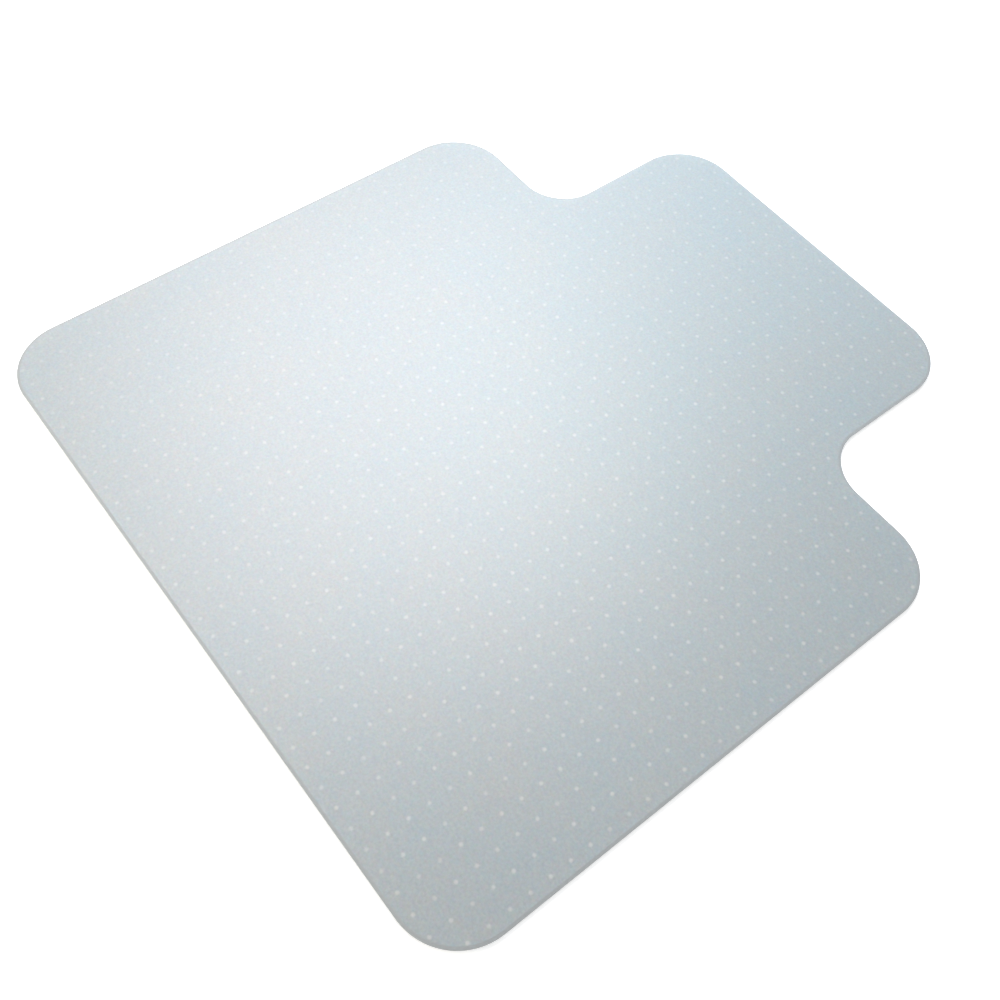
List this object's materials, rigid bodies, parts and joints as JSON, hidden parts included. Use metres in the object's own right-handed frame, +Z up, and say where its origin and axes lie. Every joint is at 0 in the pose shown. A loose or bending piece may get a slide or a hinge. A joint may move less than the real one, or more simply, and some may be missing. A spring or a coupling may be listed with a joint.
{
  "type": "chair mat",
  "caption": "Flat frosted vinyl floor mat with round corners and a rectangular lip for under a desk, gripped to carpet by a grid of short studs.",
  "frame": {"origin": "middle of the mat's length and width, on the plane of the stud tips that stands on the floor", "axes": "+Y points to the lip end that goes under the desk, +X to the right when facing the lip, +Z up"},
  "size_m": [0.914, 0.978, 0.007],
  "materials": {
    "sheet": "frosted translucent soft vinyl, fine matte grain on top",
    "studs": "frosted translucent soft vinyl, smooth moulded pegs"
  },
  "bodies": {
    "root": {"mat_sheet": "sheet", "stud_row_01": "studs", "stud_row_02": "studs", "stud_row_03": "studs", "stud_row_04": "studs", "stud_row_05": "studs", "stud_row_06": "studs", "stud_row_07": "studs", "stud_row_08": "studs", "stud_row_09": "studs", "stud_row_10": "studs", "stud_row_11": "studs", "stud_row_12": "studs", "stud_row_13": "studs", "stud_row_14": "studs", "stud_row_15": "studs", "stud_row_16": "studs", "stud_row_17": "studs", "stud_row_18": "studs", "stud_row_19": "studs", "stud_row_20": "studs", "stud_row_21": "studs", "stud_row_22": "studs", "stud_row_23": "studs", "stud_row_24": "studs", "stud_row_25": "studs", "stud_row_26": "studs", "stud_row_27": "studs", "stud_row_28": "studs", "stud_row_29": "studs", "stud_row_30": "studs", "stud_row_31": "studs", "stud_row_32": "studs", "stud_row_33": "studs", "stud_row_34": "studs", "stud_row_35": "studs"}
  },
  "joints": []
}
